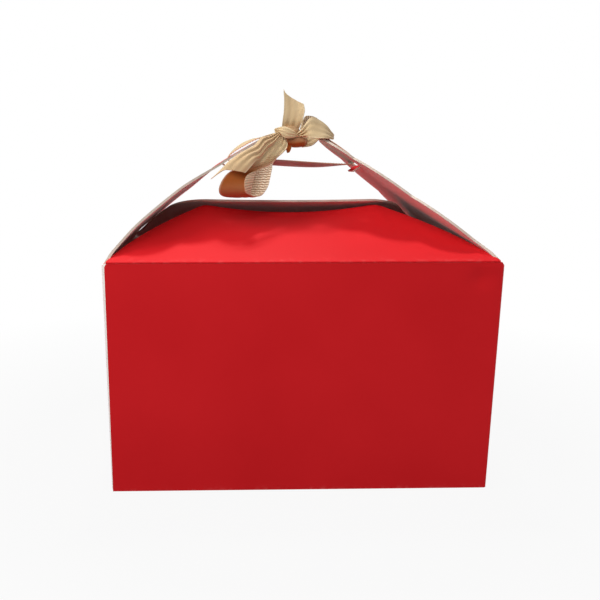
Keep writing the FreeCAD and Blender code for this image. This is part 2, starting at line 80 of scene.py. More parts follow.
# Flap outlines: a side is the half-width at the crease and how it narrows with the distance from it, and with
# the square of that. A corner, lobe or tip is an arc, its middle so far along the flap and out from its line.
# Then come a tip's last row from its start, the sags of the long flaps' free edges, the back flap's extra
# width at the left, and the share of its length where that is full
FRONT_SIDE = (97.8, 0.34, 0.0040)
FRONT_CORNER_FROM = 70.2
FRONT_CORNER = {"middle": 61.0, "inset": 43.8, "radius": 14.0}
BACK_SIDE = (97.6, 0.5)
BACK_CORNER_FROM = 61.73
BACK_CORNER = {"middle": 51.0, "inset": 45.27, "radius": 24.0}
SHOULDER = (67.6, 0.577)
SHOULDER_TO = 16.0
LOBE = {"middle": 13.2, "inset": 14.27, "radius": 44.2}
LOBE_LENGTH = 34.0
LOBE_STEP_IN = 19.62
TIP_FROM = 84.0
TIP = {"middle": 84.85, "inset": 0.0, "radius": 19.15}
TIP_ROWS_TO = 19.9
FRONT_DIP = 5.2
BACK_DIP = 0.6
BACK_REACH = 5.0
FULL_REACH = 0.62

# Grids of the flaps: rows round the bead of a crease, its turn in degrees on the outer and inner side and
# where both end, columns beside the ribbon slot and across it, the slot's largest share of the width, rows of
# an end flap between its stops and round its tip, first row after a crease, and columns, even rows and
# crowded rows of a long flap, whose last row stays short of its edge
BEAD_ROWS = 9
BEAD_TURN = {1: 118, -1: 58}
BEAD_END = 6
BESIDE_SLOT = 14
OVER_SLOT = 8
SLOT_SHARE = 0.4
END_ROWS = (9, 22, 18, 5, 4)
TIP_ROWS = 22
FIRST_ROW = 0.6
LONG_COLUMNS = 85
LONG_ROWS = 34
CROWDED_ROWS = 26
SHORT_OF_EDGE = 0.02

# Ribbon sizes
RIBBON = 15.0
THICK = 0.4
RIB_PITCH = 1.6
RIB_DEPTH = 0.32
LIP = 0.8
KNOT = np.array((0.0, -3.0, 185.16))
KNOT_SIDE = 5.25

# Grid of a ribbon: curve steps between two stations, rows to a rib, columns across it, those that stay when
# its edge is turned out, the columns of the bend and of the turned-out edge, and the pleats across it
CURVE_STEPS = 24
ROWS_PER_RIB = 6
RIBBON_COLUMNS = 25
PLAIN_COLUMNS = 22
BEND_COLUMNS = 5
LIP_COLUMNS = 6
PLEAT_COUNT = 3


def smooth(low, high, value):
    """A ramp from 0 at low to 1 at high with level ends."""
    t = np.clip((value - low) / (high - low), 0, 1)
    return t * t * (3 - 2 * t)


def widen(points, kind):
    """The carton spreads towards its top creases: X grows with height and closes again to the flaps' tips.

    A wall turns back in under its crease, and an end flap starts from its crease line, so it folds clear.
    """
    over = points[..., 2] - CREASE_Z
    share = 1 - over / SPREAD_CLOSES
    if kind == "wall":
        share = np.minimum(1 + over / CREASE_Z, (WALL_TURN_END - over) / WALL_TURN)
    elif kind == "end":
        share = np.minimum(over / END_SPREAD_BY, share)
    out = points.copy()
    out[..., 0] *= 1 + MOUTH * np.clip(share, 0, 1)
    return out


# Mesh building
OUTER, INNER, CUT = 0, 1, 2
SHARP_FROM = math.radians(38)


def plate(name, outer, inner, uv, wear_and_painted_light, materials, mask=None):
    """A closed sheet from two grids of points, its outer and inner faces, with side faces round each border.

    The materials are for the outer face, the inner face and the cut edges. uv is in metres. The per-point
    value,
    0 to 1, is rubbing and painted light: a highlight along board creases and shade on ribbon.
    """
    rows, cols = outer.shape[:2]
    count = rows * cols
    if mask is None:
        mask = np.ones((rows - 1, cols - 1), bool)
    index = np.arange(count).reshape(rows, cols)
    a, b, c, d = index[:-1, :-1], index[:-1, 1:], index[1:, 1:], index[1:, :-1]
    top = np.stack((a, b, c, d), -1)[mask]
    closed = np.pad(mask, 1)
    borders = (
        (closed[:-2, 1:-1], a, b),
        (closed[1:-1, 2:], b, c),
        (closed[2:, 1:-1], c, d),
        (closed[1:-1, :-2], d, a),
    )
    sides = []
    for beyond, start, end in borders:
        edge = mask & ~beyond
        s, e = start[edge], end[edge]
        sides.append(np.stack((e, s, s + count, e + count), -1))
    sides = np.concatenate(sides)
    faces = np.concatenate((top, top[:, ::-1] + count, sides))
    kinds = np.repeat((OUTER, INNER, CUT), (len(top), len(top), len(sides)))
    points = np.concatenate((outer.reshape(-1, 3), inner.reshape(-1, 3)))
    normal = np.cross(points[top[:, 2]] - points[top[:, 0]], points[top[:, 3]] - points[top[:, 1]])
    if np.sum(normal * (points[top[:, 0]] - points[top[:, 0] + count])) < 0:
        faces = faces[:, ::-1]
    mesh = bpy.data.meshes.new(name)
    mesh.vertices.add(len(points))
    mesh.vertices.foreach_set("co", (points * MM).astype(np.float32).ravel())
    mesh.loops.add(faces.size)
    mesh.loops.foreach_set("vertex_index", faces.astype(np.int32).ravel())
    mesh.polygons.add(len(faces))
    mesh.polygons.foreach_set("loop_start", np.arange(0, faces.size, 4, dtype=np.int32))
    mesh.polygons.foreach_set("material_index", kinds.astype(np.int32))
    mesh.update(calc_edges=True)
    layer = mesh.uv_layers.new(name="Flat")
    both = np.concatenate((uv.reshape(-1, 2), uv.reshape(-1, 2)))
    layer.data.foreach_set("uv", both[faces.ravel()].astype(np.float32).ravel())
    # The per-point value carries rubbing and painted light.
    rub_and_light_layer = mesh.attributes.new("wear_and_painted_light", "FLOAT", "POINT")
    rub_and_light_layer.data.foreach_set("value", np.concatenate((wear_and_painted_light.ravel(), wear_and_painted_light.ravel())).astype(np.float32))
    mesh.polygons.foreach_set("use_smooth", np.ones(len(faces), bool))
    mesh.set_sharp_from_angle(angle=SHARP_FROM)
    mesh.validate()
    for material in materials:
        mesh.materials.append(material)
    piece = bpy.data.objects.new(name, mesh)
    bpy.context.scene.collection.objects.link(piece)
    return piece


def dress(piece, body, slot, *nodes):
    """Puts a piece on its body and hides the solids it stands for. The finish slot is not used."""
    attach(piece, body)
    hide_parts(*nodes)


# Node helpers
class Nodes:
    """A small writer of node trees: each call adds a node and returns an output socket."""

    def __init__(self, tree):
        self.tree = tree

    def add(self, kind, **settings):
        node = self.tree.nodes.new(kind)
        for key, value in settings.items():
            setattr(node, key, value)
        return node

    def wire(self, source, target):
        if isinstance(source, bpy.types.NodeSocket):
            self.tree.links.new(source, target)
        else:
            target.default_value = source

    def math(self, operation, first, second=0.0, third=0.0):
        node = self.add("ShaderNodeMath", operation=operation)
        for socket, value in zip(node.inputs, (first, second, third)):
            self.wire(value, socket)
        return node.outputs[0]

    def mix(self, share, first, second):
        node = self.add("ShaderNodeMix", data_type="RGBA")
        self.wire(share, node.inputs["Factor"])
        self.wire(first, node.inputs[6])
        self.wire(second, node.inputs[7])
        return node.outputs[2]

    def noise(self, vector, scale, detail=3.0, rough=0.55):
        node = self.add("ShaderNodeTexNoise")
        self.wire(vector, node.inputs["Vector"])
        node.inputs["Scale"].default_value = scale
        node.inputs["Detail"].default_value = detail
        node.inputs["Roughness"].default_value = rough
        return node.outputs["Fac"]

    def stretch(self, vector, scale):
        node = self.add("ShaderNodeMapping")
        self.wire(vector, node.inputs["Vector"])
        node.inputs["Scale"].default_value = scale
        return node.outputs[0]

    def span(self, value, low, high, to_low, to_high):
        node = self.add("ShaderNodeMapRange", clamp=True)
        for socket, number in zip(range(5), (value, low, high, to_low, to_high)):
            self.wire(number, node.inputs[socket])
        return node.outputs[0]

    def tone(self, noise, to_low=0.0, to_high=1.0):
        """The middle band of a noise spread over a range."""
        return self.span(noise, 0.3, 0.7, to_low, to_high)

    def wave(self, length, pace):
        """A sine wave from 0 to 1 along a length."""
        return self.math("MULTIPLY_ADD", self.math("SINE", self.math("MULTIPLY", length, pace)), 0.5, 0.5)


def srgb(red, green, blue):
    """An 8-bit screen colour as a linear colour."""
    linear = []
    for value in (red, green, blue):
        share = value / 255
        linear.append(share / 12.92 if share <= 0.04045 else ((share + 0.055) / 1.055) ** 2.4)
    return (*linear, 1.0)


def group(name, inputs, outputs, fill):
    """A shader node group with named sockets; fill writes its nodes and returns its outputs by name."""
    tree = bpy.data.node_groups.new(name, "ShaderNodeTree")
    for label, kind in inputs:
        tree.interface.new_socket(label, in_out="INPUT", socket_type=kind)
    for label, kind in outputs:
        tree.interface.new_socket(label, in_out="OUTPUT", socket_type=kind)
    source = tree.nodes.new("NodeGroupInput")
    target = tree.nodes.new("NodeGroupOutput")
    made = fill(Nodes(tree), source.outputs)
    for label, socket in made.items():
        tree.links.new(socket, target.inputs[label])
    return tree


COLOUR = "NodeSocketColor"
VALUE = "NodeSocketFloat"
SURFACE = [("Colour", COLOUR), ("Roughness", VALUE), ("Height", VALUE)]


def fill_coated(n, given):
    """Printed, coated board: broad tone drift, fine paper grain under the coat, rubbed edges, and creases
    rubbed with a painted highlight.
    """
    place = n.add("ShaderNodeTexCoord").outputs["Object"]
    drift = n.noise(place, 14.0, 2.0)
    grain = n.noise(place, 1400.0, 4.0, 0.7)
    rub = n.noise(place, 320.0, 3.0, 0.6)
    base = n.mix(n.tone(drift), given["Deep"], given["Print"])
    # The per-point value mixes in the rubbed colour: real rubbing at edges and a painted highlight along
    # creases.
    flecks = n.math("MULTIPLY", n.span(rub, 0.5, 0.72, 0.0, 1.0), given["Wear_and_painted_light"])
    colour = n.mix(n.math("MULTIPLY", flecks, 0.6), base, given["Rubbed"])
    gloss = n.tone(drift, 0.48, 0.55)
    worn = n.math("ADD", gloss, n.math("MULTIPLY", flecks, 0.18))
    waves = n.math("MULTIPLY", n.noise(place, 55.0, 2.0), 0.5)
    height = n.math("ADD", n.math("MULTIPLY", grain, 0.16), waves)
    return {"Colour": colour, "Roughness": worn, "Height": height}


def fill_bare(n, given):
    """Unprinted board: fibre mottle, small dark specks and a dry surface."""
    place = n.add("ShaderNodeTexCoord").outputs["Object"]
    mottle = n.noise(place, 90.0, 5.0, 0.65)
    fibres = n.noise(n.stretch(place, (700.0, 700.0, 260.0)), 1.0, 3.0, 0.7)
    speck = n.span(n.noise(place, 900.0, 1.0), 0.70, 0.76, 0.0, 0.35)
    base = n.mix(n.tone(mottle), given["Shade"], given["Board"])
    colour = n.mix(speck, base, given["Speck"])
    rough = n.tone(fibres, 0.68, 0.84)
    height = n.math("ADD", n.math("MULTIPLY", fibres, 0.6), n.math("MULTIPLY", mottle, 0.4))
    return {"Colour": colour, "Roughness": rough, "Height": height}


# Threads across the ribbon in radians to a metre, and where its selvedge starts and ends, in metres
THREAD_PACE = 19000.0
SELVEDGE = (0.0066, 0.0070)


def fill_ribbon(n, given):
    """Woven ribbon: cross ribs with painted shade in their valleys, fine threads, a corded selvedge, uneven
    dye and painted shade.
    """
    flat = n.add("ShaderNodeUVMap", uv_map="Flat").outputs[0]
    parts = n.add("ShaderNodeSeparateXYZ")
    n.wire(flat, parts.inputs[0])
    across, along = parts.outputs[0], parts.outputs[1]
    rib = n.wave(along, given["Ribs"])
    thread = n.wave(across, THREAD_PACE)
    selvedge = n.span(n.math("ABSOLUTE", across), *SELVEDGE, 0.0, 1.0)
    dye = n.noise(n.stretch(flat, (160.0, 60.0, 1.0)), 1.0, 3.0)
    # Painted shade: the valleys between the ribs are darkened to the valley colour.
    deep = n.math("MULTIPLY", n.math("SUBTRACT", 1.0, rib), given["Depth"])
    dyed = n.mix(n.tone(dye), given["Shade"], given["Gold"])
    # Painted shade: the per-point tone darkens the ribbon to its shaded colour where it hangs in shade.
    base = n.mix(given["Wear_and_painted_light"], dyed, given["Turned"])
    ribbed = n.mix(deep, base, given["Valley"])
    colour = n.mix(n.math("MULTIPLY", selvedge, 0.35), ribbed, given["Light"])
    rough = n.math("ADD", n.math("MULTIPLY", deep, 0.22), n.tone(dye, 0.36, 0.46))
    weave = n.math("MULTIPLY", thread, 0.12)
    height = n.math("ADD", n.math("ADD", n.math("MULTIPLY", rib, given["Depth"]), weave), selvedge)
    return {"Colour": colour, "Roughness": rough, "Height": height}


COATED = group(
    "coated_board",
    [("Print", COLOUR), ("Deep", COLOUR), ("Rubbed", COLOUR), ("Wear_and_painted_light", VALUE)],
    SURFACE,
    fill_coated,
)
BARE = group("bare_board", [("Board", COLOUR), ("Shade", COLOUR), ("Speck", COLOUR)], SURFACE, fill_bare)
WOVEN = group(
    "woven_ribbon",
    [
        ("Gold", COLOUR), ("Shade", COLOUR), ("Valley", COLOUR), ("Light", COLOUR), ("Turned", COLOUR),
        ("Ribs", VALUE), ("Depth", VALUE), ("Wear_and_painted_light", VALUE),
    ],
    SURFACE,
    fill_ribbon,
)


def finish(name, tree, values, bump, wear_and_painted_light=False, **sockets):
    """A material around one group: its colour, roughness and height feed the Principled shader.

    bump is the relief's strength and its depth in metres, and sockets are constants of the shader.
    """
    material = bpy.data.materials.new(name)
    material.use_nodes = True
    n = Nodes(material.node_tree)
    shader = material.node_tree.nodes["Principled BSDF"]
    made = n.add("ShaderNodeGroup", node_tree=tree)
    for label, value in values.items():
        made.inputs[label].default_value = value
    # The per-point value brings rubbing and painted light into the group.
    if wear_and_painted_light:
        n.wire(n.add("ShaderNodeAttribute", attribute_name="wear_and_painted_light").outputs["Fac"], made.inputs["Wear_and_painted_light"])
    n.wire(made.outputs["Colour"], shader.inputs["Base Color"])
    n.wire(made.outputs["Roughness"], shader.inputs["Roughness"])
    relief = n.add("ShaderNodeBump")
    relief.inputs["Strength"].default_value = bump[0]
    relief.inputs["Distance"].default_value = bump[1]
    n.wire(made.outputs["Height"], relief.inputs["Height"])
    n.wire(relief.outputs[0], shader.inputs["Normal"])
    for label, value in sockets.items():
        shader.inputs[label.replace("_", " ")].default_value = value
    return material


# The rubbed colour is both real rubbing at edges and a painted highlight along the creases.
RED_TONES = {"Print": srgb(222, 33, 39), "Deep": srgb(214, 29, 35), "Rubbed": srgb(232, 96, 96)}
WHITE_TONES = {"Board": srgb(240, 236, 232), "Shade": srgb(230, 224, 219), "Speck": srgb(168, 152, 138)}
EDGE_TONES = {"Board": srgb(226, 214, 200), "Shade": srgb(203, 188, 172), "Speck": srgb(160, 138, 118)}
# The darkest colour of each ribbon face is painted shade, brown with the red of light bounced from the
# carton.
SATIN_TONES = {
    "Gold": srgb(222, 198, 158),
    "Shade": srgb(212, 184, 141),
    "Valley": srgb(150, 104, 58),
    "Light": srgb(230, 212, 178),
    "Turned": srgb(176, 98, 46),
    "Ribs": 2 * math.pi / 0.0007,
    "Depth": 0.14,
}
RIBBED_TONES = {
    "Gold": srgb(240, 222, 194),
    "Shade": srgb(230, 208, 176),
    "Valley": srgb(150, 100, 58),
    "Light": srgb(228, 204, 172),
    "Turned": srgb(226, 196, 160),
    "Ribs": 2 * math.pi / (RIB_PITCH * MM),
    "Depth": 0.9,
}
RED = finish("red_coated_board", COATED, RED_TONES, (0.2, 0.0004), wear_and_painted_light=True, Specular_IOR_Level=0.08)
# The inner board glows faintly red: painted light for red light shining through the print and bouncing inside
# the carton.
WHITE = finish("white_inner_board", BARE, WHITE_TONES, (0.3, 0.0002),
               Emission_Color=(0.008, 0.001, 0.001, 1.0), Emission_Strength=1.0)
EDGE = finish("raw_board_edge", BARE, EDGE_TONES, (0.5, 0.0003))
SATIN = finish("gold_ribbon_satin", WOVEN, SATIN_TONES, (0.4, 0.00015), wear_and_painted_light=True,
               Sheen_Weight=0.05, Anisotropic=0.4, Specular_IOR_Level=0.03)
RIBBED = finish("gold_ribbon_ribbed", WOVEN, RIBBED_TONES, (0.5, 0.0002), wear_and_painted_light=True, Sheen_Weight=0.3)
BOARD_SET = (RED, WHITE, EDGE)
RIBBON_SET = (SATIN, RIBBED, SATIN)


# Walls: one folded sleeve, split in the middle of each corner fold.
# Rows close to the bottom and top edges and even ones between, reach of a slanting seam, reach of the rubbing
# of an edge, how far a corner has turned where it is rubbed most, by how much, and its plan points
CLOSE_ROWS = (0, 0.5, 1.5)
EVEN_FROM = 3
EVEN_ROWS = 40
SEAM_BLEND = 12
EDGE_WEAR = 0.9
FOLD_TURN = 0.25
FOLD_WEAR = 0.5
CORNER_POINTS = 9


def corner(x, y, start, end, radius=FOLD):
    """Plan points and outward directions round a corner fold, from one angle to another in degrees."""
    angle = np.radians(np.linspace(start, end, CORNER_POINTS))
    way = np.stack((np.cos(angle), np.sin(angle)), -1)
    return np.array((x, y)) + radius * way, way


def straight(first, last, way, step=3.0):
    """Plan points along a flat wall, with its outward direction."""
    first, last = np.array(first, float), np.array(last, float)
    count = max(int(np.linalg.norm(last - first) / step), 2)
    share = np.linspace(0, 1, count + 1)[:, None]
    return first + (last - first) * share, np.tile(np.array(way, float), (count + 1, 1))


def wall(name, runs, bulge, left_edge=None, bare_from=None, dents=()):
    """A wall of the sleeve: its plan line raised to the top crease, bowed outward a little in its middle.

    left_edge moves the first plan point by a distance that grows from the top down, as at a slanting seam.
    Below bare_from in Y the outside is bare board. Each dent is its X and Z, its depth and its reach.
    """
    line = np.concatenate([r[0] for r in runs])
    way = np.concatenate([r[1] for r in runs])
    keep = np.concatenate(([True], np.linalg.norm(np.diff(line, axis=0), axis=1) > 1e-4))
    line, way = line[keep], way[keep]
    gone = np.concatenate(([0], np.cumsum(np.linalg.norm(np.diff(line, axis=0), axis=1))))
    close = np.array(CLOSE_ROWS)
    even = np.linspace(EVEN_FROM, WALL_TOP - EVEN_FROM, EVEN_ROWS)
    z = np.concatenate((close, even, WALL_TOP - close[::-1]))
    share = gone / gone[-1]
    bow = bulge * np.sin(np.pi * share)[None, :] * np.sin(np.pi * z / WALL_TOP)[:, None]
    outer = np.zeros((len(z), len(line), 3))
    outer[..., :2] = line[None] + way[None] * bow[..., None]
    outer[..., 2] = z[:, None]
    if left_edge is not None:
        pull = smooth(SEAM_BLEND, 0, gone)[None, :] * left_edge * (1 - z / WALL_TOP)[:, None]
        outer[..., 0] += pull
    for across, high, depth, reach in dents:
        near = ((line[None, :, 0] - across) ** 2 + (z[:, None] - high) ** 2) / reach ** 2
        outer[..., :2] -= way[None] * (depth * np.exp(-near))[..., None]
    inner = outer.copy()
    inner[..., :2] -= way[None] * BOARD
    uv = np.stack(np.broadcast_arrays(gone[None, :] * MM, z[:, None] * MM), -1)
    wear_and_painted_light = np.broadcast_to(np.exp(-z / EDGE_WEAR)[:, None], outer.shape[:2])
    turned = 1 - np.max(np.abs(way), axis=1)
    wear_and_painted_light = np.maximum(wear_and_painted_light, np.clip(turned / FOLD_TURN, 0, 1)[None, :] * FOLD_WEAR)
    piece = plate(name + "_board", widen(outer, "wall"), widen(inner, "wall"), uv, wear_and_painted_light, BOARD_SET)
    count = len(piece.data.polygons)
    centre = np.zeros(count * 3)
    piece.data.polygons.foreach_get("center", centre)
    centre = centre.reshape(-1, 3) / MM
    kinds = np.zeros(count, np.int32)
    piece.data.polygons.foreach_get("material_index", kinds)
    kinds[(kinds == CUT) & (centre[:, 2] > WALL_TOP - 0.1)] = OUTER
    if bare_from is not None:
        kinds[(kinds == OUTER) & (centre[:, 1] < bare_from)] = INNER
    piece.data.polygons.foreach_set("material_index", kinds)
    dress(piece, "carton", "red_board", name)


IN_W = HALF_W - FOLD
IN_D = HALF_D - FOLD
SEAM_TOP = -98.35
SEAM_LEAN = -0.95
LONG_BULGE = 0.35
END_BULGE = 0.3
TAB_Y = HALF_D - BOARD - 0.05
TAB_SHOWS = 2.2
CORNER_DENTS = ((88.5, 113.5, 1.3, 4.0), (93.0, 119.0, -0.5, 3.5))
wall("front_wall", [
    straight((SEAM_TOP, -HALF_D), (IN_W, -HALF_D), (0, -1)),
    corner(IN_W, -IN_D, -90, -45),
], LONG_BULGE, left_edge=SEAM_LEAN, dents=CORNER_DENTS)
wall("right_wall", [
    corner(IN_W, -IN_D, -45, 0),
    straight((HALF_W, -IN_D), (HALF_W, IN_D), (1, 0)),
    corner(IN_W, IN_D, 0, 45),
], END_BULGE)
wall("back_wall", [
    corner(IN_W, IN_D, 45, 90),
    straight((IN_W, HALF_D), (-IN_W, HALF_D), (0, 1)),
    corner(-IN_W, IN_D, 90, 135),
], LONG_BULGE)
wall("left_wall", [
    corner(-IN_W, IN_D, 135, 180),
    straight((-HALF_W, IN_D), (-HALF_W, FOLD - TAB_Y), (-1, 0)),
    corner(-IN_W, FOLD - TAB_Y, 180, 270),
    straight((-IN_W, -TAB_Y), (-IN_W + TAB_SHOWS, -TAB_Y), (0, -1), 1.0),
], END_BULGE, bare_from=-TAB_Y + 1.0)


# Top flaps
def round_half(along, middle, inset, radius):
    """Half-width round an arc, whose middle is inset from the flap's middle line."""
    return inset + np.sqrt(np.maximum(radius ** 2 - (along - middle) ** 2, 0))


def front_half(along):
    """Half-width of the front flap: a side that curves in more and more, then a round corner."""
    at_crease, taper, curve = FRONT_SIDE
    side = at_crease - taper * along - curve * along ** 2
    return np.where(along < FRONT_CORNER_FROM, side, round_half(along, **FRONT_CORNER))


def back_half(along):
    """Half-width of the back flap: a straight taper into a round corner."""
    at_crease, taper = BACK_SIDE
    return np.where(along < BACK_CORNER_FROM, at_crease - taper * along, round_half(along, **BACK_CORNER))


def end_half(along):
    """Half-width of an end flap: a shoulder, two outward lobes that meet in cusps, and a round tip."""
    at_crease, taper = SHOULDER
    half = np.where(along < SHOULDER_TO, at_crease - taper * along, round_half(along, **TIP))
    for count in range(2):
        start = SHOULDER_TO + count * LOBE_LENGTH
        arc = round_half(along - count * LOBE_LENGTH, **LOBE) - count * LOBE_STEP_IN
        half = np.where((along >= start) & (along <= start + LOBE_LENGTH), arc, half)
    return half


def flap_point(side, along, across, over):
    """A point from its distance along the flap, its place across it and its height over the flap's chord."""
    lean = {"front": FRONT_LEAN, "back": BACK_LEAN}.get(side, END_LEAN)
    run = along * math.cos(lean) - over * math.sin(lean)
    rise = CREASE_Z + along * math.sin(lean) + over * math.cos(lean)
    if side in ("left", "right"):
        x = run - END_HINGE_X
        return np.stack((x if side == "left" else -x, across, rise), -1)
    y = run - LONG_HINGE_Y
    return np.stack((across, y if side == "front" else -y, rise), -1)


def arch(side, along):
    """Height of an end flap's middle surface over its chord: a circle of the flap's length and its rise."""
    rise = END_RISE[side]
    radius = (END_LENGTH ** 2 / 4 + rise ** 2) / (2 * rise)
    return rise - radius + np.sqrt(radius ** 2 - (along - END_LENGTH / 2) ** 2)


def flap_grids(side, along, across, over):
    """Outer and inner faces of a flap, half a board to each side, closed by a round bead on the crease."""
    slope = np.gradient(over, axis=0) / np.maximum(np.gradient(along, axis=0), 1e-6)
    length = np.sqrt(1 + slope ** 2)
    faces = []
    for sign, first in BEAD_TURN.items():
        off = sign * BOARD / 2
        sheet = flap_point(side, along - off * slope / length, across, over + off / length)
        turn = np.radians(np.linspace(first, BEAD_END, BEAD_ROWS))[:, None]
        row = np.broadcast_to(across[0], (BEAD_ROWS, across.shape[1]))
        back = np.broadcast_to(-BEAD * np.sin(turn), row.shape)
        high = np.broadcast_to(sign * BEAD * np.cos(turn), row.shape)
        faces.append(np.concatenate((flap_point(side, back, row, high), sheet)))
    return faces


# Rubbing and a painted highlight along a crease and their reach, share of a long flap's length where its rows
# crowd to the free edge, angle of the wave by which its columns crowd to the sides, and half-width and power
# of its sag
CREASE_RUB_AND_HIGHLIGHT = 0.6
CREASE_REACH = 2.6
CROWD_FROM = 0.7
COLUMN_CROWD = np.pi / 2 * 0.86
SAG_HALF = 50.0
SAG_POWER = 2.5


def flap_maps(along, across, half):
    """Flat coordinates of a flap, rubbing at its edges and crease, and a painted highlight along its crease,
    with more rows for its bead.
    """
    flat = np.stack((across, along), -1) * MM
    uv = np.concatenate((np.repeat(flat[:1], BEAD_ROWS, 0), flat))
    gap = np.minimum(half[:, None] - np.abs(across), along)
    at_edge = np.exp(-np.clip(gap, 0, None) / EDGE_WEAR)
    # Along the crease the value is rubbing and a painted highlight, a soft light band just above the fold.
    wear_and_painted_light = np.maximum(at_edge, CREASE_RUB_AND_HIGHLIGHT * np.exp(-along / CREASE_REACH))
    return uv, np.concatenate((np.repeat(wear_and_painted_light[:1], BEAD_ROWS, 0), wear_and_painted_light))


def long_flap(side, half_of, dip, reach=0.0):
    """A front or back flap whose free edge sags by dip in the middle and lies level at its corners.

    reach widens its left side by that much towards the free edge.
    """
    crowded = CROWD_FROM + (1 - CROWD_FROM) * np.sin(np.linspace(0, np.pi / 2, CROWDED_ROWS)[1:])
    share = np.concatenate((np.linspace(FIRST_ROW / LONG_LENGTH, CROWD_FROM, LONG_ROWS), crowded))
    rows = share * LONG_LENGTH
    rows[-1] -= SHORT_OF_EDGE
    half = half_of(rows)
    spread = np.sin(np.linspace(-1, 1, LONG_COLUMNS) * COLUMN_CROWD) / math.sin(COLUMN_CROWD)
    across = half[:, None] * spread[None, :]
    wider = reach * np.clip(share / FULL_REACH, 0, 1)
    across = across - wider[:, None] * np.clip(-spread, 0, 1)[None, :]
    along = np.broadcast_to(rows[:, None], across.shape)
    sag = -dip * share[:, None] ** SAG_POWER * np.clip(1 - (across / SAG_HALF) ** 2, 0, 1)
    outer, inner = flap_grids(side, along, across, sag)
    uv, wear_and_painted_light = flap_maps(along, across, half)
    name = side + "_top_flap"
    piece = plate(name + "_board", widen(outer, "long"), widen(inner, "long"), uv, wear_and_painted_light, BOARD_SET)
    dress(piece, side + "_flap", "red_board", name)


def end_flap(side):
    """An arched and twisted end flap, with its ribbon slot left open in its middle columns."""
    cusp = SHOULDER_TO + LOBE_LENGTH
    stops = (FIRST_ROW, SHOULDER_TO, cusp, SLOT_FROM, SLOT_TO, TIP_FROM)
    rows = [stops[:1]]
    for start, end, count in zip(stops, stops[1:], END_ROWS):
        rows.append(np.linspace(start, end, count)[1:])
    rows.append(TIP_FROM + TIP_ROWS_TO * np.sin(np.linspace(0, np.pi / 2, TIP_ROWS)[1:]))
    rows = np.concatenate(rows)
    half = end_half(rows)
    middle = np.minimum(SLOT_HALF, SLOT_SHARE * half)
    inside = np.linspace(-1, 1, OVER_SLOT + 1)
    outside = np.linspace(0, 1, BESIDE_SLOT + 1)[1:]
    right = middle[:, None] + (half - middle)[:, None] * outside[None, :]
    across = np.concatenate((-right[:, ::-1], middle[:, None] * inside[None, :], right), axis=1)
    along = np.broadcast_to(rows[:, None], across.shape)
    over = np.broadcast_to(arch(side, rows)[:, None], across.shape)
    twist = TWIST[side] * smooth(0, TWIST_FULL_BY, rows) * smooth(TWIST_GONE_BY, cusp, rows)
    over = over - twist[:, None] * across / half[:, None]
    outer, inner = flap_grids(side, along, across, over)
    uv, wear_and_painted_light = flap_maps(along, across, half)
    mask = np.ones((outer.shape[0] - 1, outer.shape[1] - 1), bool)
    line = np.concatenate((np.zeros(BEAD_ROWS), rows))
    cut = (line[:-1] >= SLOT_FROM - 1e-6) & (line[1:] <= SLOT_TO + 1e-6)
    mask[np.ix_(cut, BESIDE_SLOT + np.arange(OVER_SLOT))] = False
    name = side + "_end_flap"
    piece = plate(name + "_board", widen(outer, "end"), widen(inner, "end"), uv, wear_and_painted_light, BOARD_SET, mask)
    dress(piece, side + "_flap", "red_board", name)


long_flap("front", front_half, FRONT_DIP)
long_flap("back", back_half, BACK_DIP, BACK_REACH)
end_flap("left")
end_flap("right")


# Slot tabs: sizes, the stretch over which a tab bends, and its rows and columns
TAB_LENGTH = 5.6
TAB_HALF = 7.7
TAB_GAP = 0.15
TAB_BEND = math.radians(70)
TAB_BOARD = 0.9
TAB_WEAR = 0.5
TAB_CURVE = (-0.4, 1.0)
TAB_ROWS = 12
TAB_COLUMNS = 9


def slot_tab(side):
    """The small tab still joined at the slot's lower edge, bent in through the slot on a short curve."""
    run = np.linspace(0, TAB_LENGTH, TAB_ROWS)
    turn = TAB_BEND * smooth(*TAB_CURVE, run)
    step = np.diff(run, prepend=0)
    along = SLOT_FROM + TAB_GAP + np.cumsum(step * np.cos(turn))
    over = arch(side, along[:1]) - np.cumsum(step * np.sin(turn))
    across = np.linspace(-TAB_HALF, TAB_HALF, TAB_COLUMNS)
    shape = (len(run), len(across))
    faces = []
    for off in (TAB_BOARD, 0.0):
        a = np.broadcast_to((along + off * np.sin(turn))[:, None], shape)
        h = np.broadcast_to((over + off * np.cos(turn))[:, None], shape)
        faces.append(flap_point(side, a, np.broadcast_to(across[None], shape), h))
    uv = np.stack(np.broadcast_arrays(across[None, :] * MM, run[:, None] * MM), -1)
    wear_and_painted_light = np.broadcast_to(np.exp(-(TAB_LENGTH - run) / TAB_WEAR)[:, None], shape)
    name = side + "_slot_tab"
    piece = plate(name + "_board", *(widen(f, "end") for f in faces), uv, wear_and_painted_light, BOARD_SET)
    dress(piece, side + "_flap", "red_board", name)


slot_tab("left")
slot_tab("right")


# Ribbon
def spline(points, steps):
    """Catmull-Rom curve through rows of numbers, with the given steps between two rows."""
    rows = np.array(points, float)
    rows = np.concatenate((2 * rows[:1] - rows[1:2], rows, 2 * rows[-1:] - rows[-2:-1]))
    t = np.linspace(0, 1, steps, endpoint=False)[None, :, None]
    p0, p1, p2, p3 = (rows[i:len(rows) - 3 + i, None, :] for i in range(4))
    out = 0.5 * (2 * p1 + (p2 - p0) * t + (2 * p0 - 5 * p1 + 4 * p2 - p3) * t ** 2
                 + (3 * p1 - p0 - 3 * p2 + p3) * t ** 3)
    return np.concatenate((out.reshape(-1, rows.shape[1]), rows[-2:-1]))


